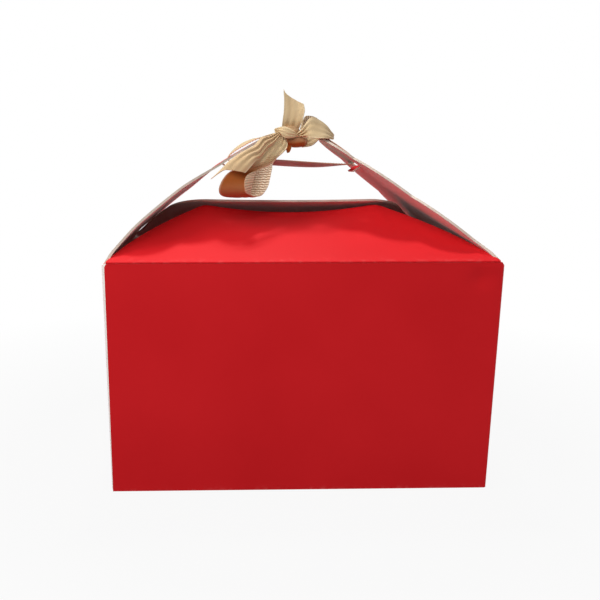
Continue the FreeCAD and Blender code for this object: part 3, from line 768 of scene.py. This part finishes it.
def turn_out(middle, u, wide, width, lip):
    """The grid of a ribbon with its second edge bent round and turned out along the lip, and its columns."""
    edge = middle[:, -1]
    before = edge - wide / width[:, None] * LIP
    long_lip = np.linalg.norm(lip, axis=1)[:, None]
    after = edge + lip / long_lip * np.minimum(LIP, long_lip * 0.9)
    turn = np.linspace(0, 1, BEND_COLUMNS + 1)[1:]
    bend = [before * (1 - t) ** 2 + edge * 2 * t * (1 - t) + after * t ** 2 for t in turn]
    run_out = [after + (edge + lip - after) * t for t in np.linspace(0, 1, LIP_COLUMNS + 1)[1:]]
    grid = np.concatenate((middle[:, :PLAIN_COLUMNS], np.stack(bend + run_out, 1)), axis=1)
    beyond = np.linspace(u[PLAIN_COLUMNS], LIP_U, BEND_COLUMNS + LIP_COLUMNS)
    return grid, np.concatenate((u[:PLAIN_COLUMNS], beyond))


# Place across of a turned-out edge, where a plain edge is at 0.5, reach, sharpness and sideways lean of a
# spike, plain border beside the ribs, share of the length in which ribs on the outer face start, and their
# height to that of the inner ones
LIP_U = 0.75
SPIKE_REACH = 3
SPIKE_POWER = 9
SPIKE_LEAN = 0.15
BORDER = 0.07
RIM_START = 0.06
RIM_RIB = 1.6


def strip(name, stations, cup=0.0, pleats=0.0, flip=False, spike=0.0, tone=0.0, rim=None, flat=True,
          held="stretched", rests_on=(), node=None):
    """A cloth ribbon along stations of (point, across, share of the width), with or without a lip and a tone
    of painted shade.

    It is cupped by cup across its width, and where it narrows, the spare width goes into pleats. The lip is a
    vector from the ribbon's second edge to the turned-out edge beyond it. Cross ribs stand on the inner face,
    and between the two shares of its length in rim also on the outer face, near the second edge. spike draws
    out the first corner of the far end.
    """
    table = []
    for point, across, share, *more in stations:
        way = np.array(across, float)
        way /= np.linalg.norm(way)
        lip = more[0] if more else way * LIP
        shade = more[1] if len(more) > 1 else tone
        table.append([*point, *(way * share * RIBBON), *lip, shade])
    rows = spline(table, CURVE_STEPS)
    gone = np.concatenate(([0], np.cumsum(np.linalg.norm(np.diff(rows[:, :3], axis=0), axis=1))))
    even = np.linspace(0, gone[-1], int(gone[-1] / RIB_PITCH * ROWS_PER_RIB) + 2)
    rows = np.stack([np.interp(even, gone, column) for column in rows.T], -1)
    gone = even
    path, wide, lip, shade = rows[:, :3], rows[:, 3:6], rows[:, 6:9], rows[:, 9]
    ahead = np.gradient(path, axis=0)
    ahead /= np.linalg.norm(ahead, axis=1)[:, None]
    width = np.linalg.norm(wide, axis=1)
    normal = np.cross(ahead, wide)
    normal /= np.linalg.norm(normal, axis=1)[:, None]
    if flip:
        normal = -normal
    u = np.linspace(-0.5, 0.5, RIBBON_COLUMNS)
    spare = np.clip(1 - width / RIBBON, 0, 1)
    lift = cup * (1 - 4 * u[None, :] ** 2) * (width / RIBBON)[:, None]
    lift = lift + pleats * spare[:, None] * np.cos(2 * np.pi * PLEAT_COUNT * u)[None, :]
    middle = path[:, None, :] + wide[:, None, :] * u[None, :, None] + normal[:, None, :] * lift[..., None]
    if spike:
        near_end = smooth(gone[-1] - SPIKE_REACH, gone[-1], gone)[:, None]
        drawn = spike * near_end * np.clip(-2 * u, 0, 1)[None, :] ** SPIKE_POWER
        way = ahead - wide / width[:, None] * SPIKE_LEAN
        middle = middle + way[:, None, :] * drawn[..., None]
    if np.any(np.linalg.norm(lip, axis=1) > LIP * 1.5):
        middle, u = turn_out(middle, u, wide, width, lip)
    along = np.gradient(middle, axis=0)
    aside = np.gradient(middle, axis=1)
    face = np.cross(along, aside)
    face /= np.maximum(np.linalg.norm(face, axis=2)[..., None], 1e-9)
    if flip:
        face = -face
    wave = 0.5 + 0.5 * np.sin(2 * np.pi * gone / RIB_PITCH)[:, None]
    border = smooth(u[-1], u[-1] - BORDER, np.abs(u))[None, :]
    inner_rib = RIB_DEPTH * wave * border
    outer_rib = 0 * inner_rib
    if rim:
        place = gone / gone[-1]
        band = smooth(rim[0], rim[0] + RIM_START, place) * smooth(rim[1], rim[1] - RIM_START, place)
        outer_rib = RIM_RIB * inner_rib * band[:, None] * smooth(-0.3, 0.15, u)[None, :]
    thick = THICK / 2
    uv = np.stack(np.broadcast_arrays(u[None, :] * RIBBON * MM, gone[:, None] * MM), -1)
    # The tone at each point is painted shade.
    toned = np.broadcast_to(shade[:, None], middle.shape[:2])
    outer = middle + face * (thick + outer_rib)[..., None]
    inner = middle - face * (thick + inner_rib)[..., None]
    piece = plate(name + "_cloth", outer, inner, uv, toned, RIBBON_SET)
    dress(piece, "right_flap", "gold_ribbon", node or name)
    return piece


# A run's height over the board's middle surface, radius of its bend in the slot, place and depth inside, and
# how it stands off the flap: share of the way from slot to tip, share of the bulge, and tilt. Then its share
# of the ribbon's width at the tip, half way to the knot and at the knot, and the strand's place under it
ACROSS_Y = (0, 1, 0)
LIFT = BOARD / 2 + THICK / 2 + 0.15
BEND = 0.75
IN_SLOT = SLOT_TO - BEND * 1.2
DIP = BOARD / 2 + BEND
BULGE = 1.8
OFF_FLAP = ((0.18, 0.7, 0.06), (0.45, 1.0, 0.12), (0.75, 0.8, 0.08))
TIP_WIDTH = 0.95
HALF_WAY_WIDTH = 0.75
KNOT_WIDTH = 0.5
STRAND_OVER = -DIP - 0.25 - THICK


def flap_station(side, along, over, share=1.0, tilt=0.0):
    """A ribbon station at a height over an end flap's middle surface, its front edge tilted down."""
    a = np.array([float(along)])
    spot = flap_point(side, a, np.zeros(1), arch(side, a) + over)[0]
    return (tuple(spot), (0, 1, tilt), share)


def run(side, sign, rise, slant, forward):
    """From inside the slot, out through it, along the flap's outer face, over its tip and to the knot."""
    bare = END_LENGTH - SLOT_TO
    stations = [
        flap_station(side, IN_SLOT, -DIP),
        flap_station(side, SLOT_TO - BEND, 0.0),
        flap_station(side, SLOT_TO + BEND * 0.3, LIFT + THICK / 4),
    ]
    for share, off, tilt in OFF_FLAP:
        stations.append(flap_station(side, SLOT_TO + bare * share, LIFT + BULGE * off, 1.0, tilt))
    stations.append(flap_station(side, END_LENGTH, LIFT + THICK / 2, TIP_WIDTH))
    tip = np.array(stations[-1][0])
    end = KNOT + np.array((sign * KNOT_SIDE, 0, rise))
    middle = (tip + end) / 2 + np.array((0, 0, THICK))
    middle[1] = KNOT[1] * forward
    stations.append((tuple(middle), slant, HALF_WAY_WIDTH))
    stations.append((tuple(end), slant, KNOT_WIDTH))
    return strip("ribbon_%s_run" % side, stations, pleats=0.8, flip=side == "right",
                 rests_on=[side + "_end_flap_board", "bow_knot_core"])


left_run = run("left", -1, 2.6, ACROSS_Y, 0.5)
run("right", 1, -3.2, (0, 0.8, 0.6), 0.95)
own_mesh(left_run)
left_in = np.array(flap_station("left", IN_SLOT, STRAND_OVER)[0])
right_in = np.array(flap_station("right", IN_SLOT, STRAND_OVER)[0])
# The strand's tone of 1 is painted shade: it is painted dark brown, as it lies in shade under the bow.
strip("ribbon_strand", [
    (tuple(left_in), ACROSS_Y, 1),
    (tuple(left_in * (0.4, 1, 1) - (0, 0, 0.2)), (0, 1, -0.20), 1),
    (tuple(right_in * (0.4, 1, 1) - (0, 0, 0.1)), (0, 1, -0.18), 1),
    (tuple(right_in), ACROSS_Y, 1),
], flip=True, tone=1.0, rests_on=["left_end_flap_board", "right_end_flap_board"])


def from_knot(rows):
    """Ribbon stations from rows of (point from the knot's middle, across, width), and a lip and a tone of
    painted shade.
    """
    return [(tuple(KNOT + np.array(p)), across, width / RIBBON, *more) for p, across, width, *more in rows]


def bow(name, stations, **how):
    """A bow stretch held by the knot, its stations as in from_knot."""
    strip(name, from_knot(stations), held="gathered", rests_on=["bow_knot_core"], **how)


bow("bow_right_loop", [
    ((2.3, -6.5, 1.2), (0.50, 0, -0.87), 1.7),
    ((5.2, -8.5, 2.0), (0.44, -0.21, -0.87), 4.8),
    ((9.4, -9.0, 5.0), (-0.04, -0.47, -0.88), 12.7),
    ((14.2, -7.5, 4.3), (-0.11, -0.65, -0.75), 13.9),
    ((18.8, -5.0, 2.9), (-0.17, -0.79, -0.59), 12.7),
    ((22.6, 0.0, 1.2), (-0.16, -0.90, -0.41), 11.2),
    ((24.8, 6.5, 0.4), (-0.16, -0.93, -0.34), 9.7),
    ((22.8, 9.8, 2.0), (-0.01, -0.84, -0.55), 9.0),
    ((17.2, 10.5, 5.7), (0.08, -0.46, -0.88), 10.8),
    ((12.2, 8.2, 7.3), (0.04, -0.24, -0.97), 10.4),
    ((7.6, 5.5, 7.2), (0.02, -0.11, -0.99), 8.9),
    ((5.5, 2.2, 3.7), (-0.04, -0.15, -0.99), 3.3),
], pleats=1.0, flip=True)
NO_LIP = (LIP, 0.0, 0.0)
# Each station's last number is painted shade: the outer turn of the loop is painted dark, as it hangs in
# shade.
bow("bow_left_loop", [
    ((-6.0, -7.1, 0.1), (0.82, 0.25, -0.51), 3.6, NO_LIP, 0.0),
    ((-7.5, -10.5, -3.3), (0.87, 0.26, -0.41), 7.6, NO_LIP, 0.0),
    ((-11.0, -14.8, -6.6), (0.93, 0.25, -0.26), 9.9, NO_LIP, 0.0),
    ((-15.5, -19.5, -11.3), (0.88, 0.47, -0.08), 10.5, NO_LIP, 0.0),
    ((-19.1, -23.0, -14.4), (0.82, 0.57, -0.05), 12.3, NO_LIP, 0.1),
    ((-25.3, -27.5, -17.3), (0.86, 0.51, -0.08), 11.8, (-0.8, -1.6, -0.4), 0.7),
    ((-29.7, -30.2, -19.6), (0.95, 0.30, -0.06), 14.8, (-4.2, -4.0, -0.4), 1.0),
    ((-32.2, -31.8, -23.5), (0.99, 0.14, 0.01), 17.2, (-5.0, -4.5, -0.4), 1.0),
    ((-33.6, -31.8, -27.9), (1.00, 0.03, 0.09), 17.8, (-3.9, -4.0, -1.0), 0.85),
    ((-32.9, -29.5, -31.0), (0.99, -0.13, 0.11), 15.7, (-2.5, -3.0, -0.3), 0.8),
    ((-28.8, -25.0, -32.8), (0.94, -0.35, 0.05), 11.5, (0.3, -1.0, 0.2), 0.8),
    ((-23.5, -21.5, -31.9), (0.85, -0.53, 0.01), 9.5, NO_LIP, 0.4),
    ((-20.2, -18.8, -27.4), (0.88, -0.47, -0.01), 9.5, NO_LIP, 0.0),
    ((-18.6, -16.0, -22.5), (0.90, -0.43, 0.04), 9.3, NO_LIP, 0.0),
    ((-16.6, -13.0, -18.2), (0.86, -0.51, 0.08), 7.9, NO_LIP, 0.0),
    ((-13.8, -9.5, -14.9), (0.75, -0.66, 0.07), 4.6, NO_LIP, 0.2),
    ((-6.5, -5.0, -5.6), (0.74, -0.35, -0.57), 2.8, NO_LIP, 0.4),
], pleats=0.5, rim=(0.13, 0.36))
bow("bow_upper_tail", [
    ((-1.1, -1.5, 5.2), (1.00, 0, -0.07), 10.0),
    ((-0.3, -3.5, 9.2), (0.98, -0.18, -0.04), 11.2),
    ((0.6, -3.5, 14.4), (0.97, -0.25, -0.05), 11.9),
    ((0.7, -2.5, 17.9), (0.93, -0.25, -0.26), 12.1),
    ((0.6, -1.5, 21.5), (0.84, -0.23, -0.50), 13.0),
], cup=-1.6, pleats=0.6, flip=True, spike=2.0)
# The left tail's tone of 0.15 is a little painted shade.
bow("bow_left_tail", [
    ((-8.2, -7.7, 1.7), (0.75, -0.17, -0.64), 1.8),
    ((-13.1, -14.2, -1.7), (0.65, -0.13, -0.75), 5.2),
    ((-17.3, -20.2, -3.7), (0.44, -0.09, -0.89), 7.0),
    ((-21.3, -25.5, -8.2), (0.43, -0.15, -0.89), 7.6),
    ((-26.2, -30.2, -10.8), (0.82, -0.17, -0.55), 8.7),
    ((-31.2, -33.2, -14.9), (0.95, -0.13, -0.29), 11.7),
    ((-34.7, -34.2, -18.7), (0.98, -0.12, -0.13), 12.9),
], cup=1.6, pleats=0.85, spike=7.0, tone=0.15)


# The ribbon wound once round the knot: over its upper front, down to the right and back behind it
strip("bow_knot", from_knot([
    ((-9.2, -1.5, 3.5), (0.33, -0.44, -0.83), 2.6),
    ((-8.2, -5.8, 3.7), (0.05, -0.44, -0.90), 3.6),
    ((-6.2, -8.8, 3.1), (-0.22, -0.29, -0.93), 5.3),
    ((-3.4, -9.8, 2.0), (-0.24, -0.26, -0.93), 5.8),
    ((-0.2, -9.0, 1.3), (-0.17, -0.28, -0.94), 3.9),
    ((2.6, -6.5, 0.9), (0.18, -0.58, -0.79), 2.4),
    ((5.4, -2.0, 0.5), (0.10, -0.20, -0.97), 4.0),
    ((3.2, 4.4, 0.5), (0, 0, -1), 6.0),
    ((-3.4, 5.0, 1.6), (0, 0, -1), 6.0),
    ((-8.2, 2.4, 3.2), (0.10, 0.20, -0.95), 4.2),
    ((-9.6, -0.8, 3.6), (0.33, -0.30, -0.83), 2.6),
]), cup=2.0, pleats=0.3, flip=True, flat=False)


# Lumps of the knot: rows from pole to pole and columns round it, fullness of the ends, number and twist of
# the folds, and the painted shade on top, which grows to full shade on the underside
LUMP_ROWS = 41
LUMP_COLUMNS = 72
LUMP_FULLNESS = 0.75
LUMP_FOLDS = 9
LUMP_TWIST = 2
LUMP_TOP_SHADE = 0.35


def knot_blob(name, centre, radii, folds):
    """A gathered lump of ribbon: an ellipsoid drawn out along X, with lengthwise folds, closed poles and
    painted shade darkening its underside.
    """
    polar = np.linspace(0, np.pi, LUMP_ROWS)[1:-1, None]
    angle = np.linspace(0, 2 * np.pi, LUMP_COLUMNS, endpoint=False)[None, :]
    fold = np.cos(LUMP_FOLDS * angle + LUMP_TWIST * np.cos(polar))
    radius = np.sin(polar) ** LUMP_FULLNESS * (1 + folds * fold)
    grid = np.stack(np.broadcast_arrays(
        radii[0] * np.cos(polar), radii[1] * radius * np.cos(angle), radii[2] * radius * np.sin(angle)), -1)
    ends = np.array(((radii[0], 0, 0), (-radii[0], 0, 0)))
    points = (np.concatenate((grid.reshape(-1, 3), ends)) + KNOT + np.array(centre)) * MM
    rows, cols = grid.shape[:2]
    index = np.arange(rows * cols).reshape(rows, cols)
    beside = np.roll(index, -1, axis=1)
    quads = np.stack((index[:-1], beside[:-1], beside[1:], index[1:]), -1).reshape(-1, 4)
    first = np.stack((np.full(cols, rows * cols), beside[0], index[0]), -1)
    last = np.stack((np.full(cols, rows * cols + 1), index[-1], beside[-1]), -1)
    mesh = bpy.data.meshes.new(name)
    mesh.from_pydata(points.tolist(), [], quads[:, ::-1].tolist() + first.tolist() + last.tolist())
    mesh.polygons.foreach_set("use_smooth", np.ones(len(mesh.polygons), bool))
    layer = mesh.uv_layers.new(name="Flat")
    corners = np.zeros(len(mesh.loops), np.int32)
    mesh.loops.foreach_get("vertex_index", corners)
    turned = np.arctan2(points[:, 2] - points[:, 2].mean(), points[:, 1] - points[:, 1].mean())
    flat = np.stack((points[:, 0], np.abs(turned) * radii[2] * MM), -1)
    layer.data.foreach_set("uv", flat[corners].astype(np.float32).ravel())
    tone = mesh.attributes.new("wear_and_painted_light", "FLOAT", "POINT")
    # Painted shade: the lump is darker towards its underside.
    low = smooth(0.6, -0.6, (points[:, 2] / MM - KNOT[2] - centre[2]) / radii[2])
    tone.data.foreach_set("value", (LUMP_TOP_SHADE + (1 - LUMP_TOP_SHADE) * low).astype(np.float32))
    mesh.materials.append(SATIN)
    piece = bpy.data.objects.new(name, mesh)
    bpy.context.scene.collection.objects.link(piece)
    dress(piece, "right_flap", "gold_ribbon", "bow_knot")


knot_blob("bow_knot_core", (-1.6, -1.2, 1.6), (6.2, 5.6, 4.9), 0.05)
knot_blob("bow_knot_roll", (1.9, -2.6, -2.1), (6.6, 4.8, 3.7), 0.03)
# The nub's tone of 1 is painted shade: it hangs in shade below the knot.
strip("bow_knot_nub", from_knot([
    ((-2.6, -5.0, -4.2), (0.99, 0, -0.15), 4.2),
    ((-2.5, -5.0, -6.9), (1.00, 0, 0), 2.85),
    ((-2.6, -5.0, -8.8), (0.97, 0, 0.24), 1.35),
]), flat=False, tone=1.0, node="bow_knot")


# Carried-over solids: the bottom flaps are printed below and bare above, the glued tab is bare.
# A normal's Z up to which a face is an edge, and from which it looks up or down
FACING = (0.5, 0.6)


def two_sided(name):
    """Print on faces that look down, bare board on those that look up, raw edge on the rest."""
    material = bpy.data.materials.new(name)
    material.use_nodes = True
    n = Nodes(material.node_tree)
    shader = material.node_tree.nodes["Principled BSDF"]
    parts = n.add("ShaderNodeSeparateXYZ")
    n.wire(n.add("ShaderNodeTexCoord").outputs["Normal"], parts.inputs[0])
    side, face = FACING
    down = n.span(parts.outputs[2], -face, -side, 1.0, 0.0)
    up = n.span(parts.outputs[2], side, face, 0.0, 1.0)
    sets = ((COATED, RED_TONES), (BARE, WHITE_TONES), (BARE, EDGE_TONES))
    red, white, edge = (n.add("ShaderNodeGroup", node_tree=tree) for tree, _ in sets)
    for node, (_, tones) in zip((red, white, edge), sets):
        for label, value in tones.items():
            node.inputs[label].default_value = value
    colour = n.mix(up, edge.outputs["Colour"], white.outputs["Colour"])
    n.wire(n.mix(down, colour, red.outputs["Colour"]), shader.inputs["Base Color"])
    rough = n.add("ShaderNodeMix")
    n.wire(down, rough.inputs["Factor"])
    n.wire(white.outputs["Roughness"], rough.inputs[2])
    n.wire(red.outputs["Roughness"], rough.inputs[3])
    n.wire(rough.outputs[0], shader.inputs["Roughness"])
    relief = n.add("ShaderNodeBump")
    relief.inputs["Strength"].default_value = 0.3
    relief.inputs["Distance"].default_value = 0.0003
    n.wire(white.outputs["Height"], relief.inputs["Height"])
    n.wire(relief.outputs[0], shader.inputs["Normal"])
    return material


BOTTOM = two_sided("bottom_board")
for node in ("bottom_front_flap", "bottom_left_flap", "bottom_right_flap", "bottom_back_flap"):
    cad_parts[node].data.materials.clear()
    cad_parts[node].data.materials.append(BOTTOM)
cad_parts["glue_tab"].data.materials.clear()
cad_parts["glue_tab"].data.materials.append(WHITE)


# Floor, world, lamps and camera, in metres: the floor's half size, height, tone and roughness, the distances
# over which it goes to plain white, how white it is near the object, and the strength of the world's light
FLOOR_REACH = 6.0
FLOOR_Z = -0.0006
FLOOR_TONE = 0.22
FLOOR_ROUGH = 0.8
SHADOW_REACH = (0.16, 0.42)
SHADOW_WHITE = 0.93
WORLD_LIGHT = 0.30


def white_stage():
    """A pale floor that shows white to the camera and keeps the soft shadow of the object."""
    mesh = bpy.data.meshes.new("floor")
    corners = [(x * FLOOR_REACH, y * FLOOR_REACH, 0) for x, y in ((-1, -1), (1, -1), (1, 1), (-1, 1))]
    mesh.from_pydata(corners, [], [(0, 1, 2, 3)])
    floor = bpy.data.objects.new("floor", mesh)
    bpy.context.scene.collection.objects.link(floor)
    floor.location.z = FLOOR_Z
    material = bpy.data.materials.new("floor_white")
    material.use_nodes = True
    n = Nodes(material.node_tree)
    shader = material.node_tree.nodes["Principled BSDF"]
    shader.inputs["Base Color"].default_value = (FLOOR_TONE, FLOOR_TONE, FLOOR_TONE, 1)
    shader.inputs["Roughness"].default_value = FLOOR_ROUGH
    glow = n.add("ShaderNodeEmission")
    glow.inputs["Strength"].default_value = 1.0
    ray = n.add("ShaderNodeLightPath")
    seen = n.math("MAXIMUM", ray.outputs["Is Camera Ray"], ray.outputs["Is Glossy Ray"])
    blend = n.add("ShaderNodeMixShader")
    far = n.add("ShaderNodeVectorMath", operation="LENGTH")
    n.wire(n.add("ShaderNodeTexCoord").outputs["Object"], far.inputs[0])
    white = n.span(far.outputs["Value"], *SHADOW_REACH, SHADOW_WHITE, 1.0)
    n.wire(n.math("MULTIPLY", seen, white), blend.inputs[0])
    n.wire(shader.outputs[0], blend.inputs[1])
    n.wire(glow.outputs[0], blend.inputs[2])
    n.wire(blend.outputs[0], material.node_tree.nodes["Material Output"].inputs[0])
    mesh.materials.append(material)


def white_world(strength):
    """Even light on the object, and plain white where the camera sees past it."""
    world = bpy.data.worlds.new("studio")
    bpy.context.scene.world = world
    world.use_nodes = True
    n = Nodes(world.node_tree)
    ground = world.node_tree.nodes["Background"]
    ground.inputs[0].default_value = (1, 1, 1, 1)
    ray = n.add("ShaderNodeLightPath")
    n.wire(n.span(ray.outputs["Is Camera Ray"], 0.0, 1.0, strength, 1.0), ground.inputs[1])


def lamp(name, place, aim, size, power):
    """A square soft box that faces a point."""
    data = bpy.data.lights.new(name, "AREA")
    data.size = size
    data.energy = power
    light = bpy.data.objects.new(name, data)
    bpy.context.scene.collection.objects.link(light)
    way = np.array(aim, float) - np.array(place, float)
    light.location = place
    light.rotation_euler = (
        math.atan2(math.hypot(way[0], way[1]), -way[2]),
        0.0,
        math.atan2(way[1], way[0]) - math.pi / 2,
    )


white_stage()
white_world(WORLD_LIGHT)
lamp("key_above_behind", (-0.04, 0.30, 1.02), (0.0, 0.0, 0.14), 0.13, 4.9)
lamp("front_fill", (-0.12, -0.44, 0.43), (0.0, -0.05, 0.10), 0.3, 0.95)
lamp("low_left_fill", (-0.60, -0.16, 0.13), (0.06, 0.0, 0.16), 0.2, 0.45)
lamp("low_right_fill", (0.55, -0.20, 0.12), (-0.06, 0.0, 0.16), 0.2, 0.45)
lamp("left_fill", (-0.55, -0.25, 0.62), (0.05, 0.0, 0.15), 0.4, 2.6)

# Camera: focal length in pixels of a 600 pixel frame, place in millimetres, and turn in degrees
FOCAL_PX = 716.0
CENTRE_PX = (230.0, 300.0)
FRAME_PX = 600.0
EYE = (-45.0, -424.3, 172.1)
PITCH = 11.03
YAW = 1.26
ROLL = 0.04
lens = bpy.data.cameras.new("camera")
lens.sensor_width = 36.0
lens.lens = FOCAL_PX / FRAME_PX * lens.sensor_width
lens.shift_x = (FRAME_PX / 2 - CENTRE_PX[0]) / FRAME_PX
lens.shift_y = (CENTRE_PX[1] - FRAME_PX / 2) / FRAME_PX
lens.clip_start = 0.01
camera = bpy.data.objects.new("camera", lens)
bpy.context.scene.collection.objects.link(camera)
camera.location = [v * MM for v in EYE]
camera.rotation_mode = "XYZ"
camera.rotation_euler = (math.radians(90 - PITCH), math.radians(ROLL), math.radians(-YAW))
bpy.context.scene.camera = camera
bpy.context.scene.view_settings.view_transform = "Standard"
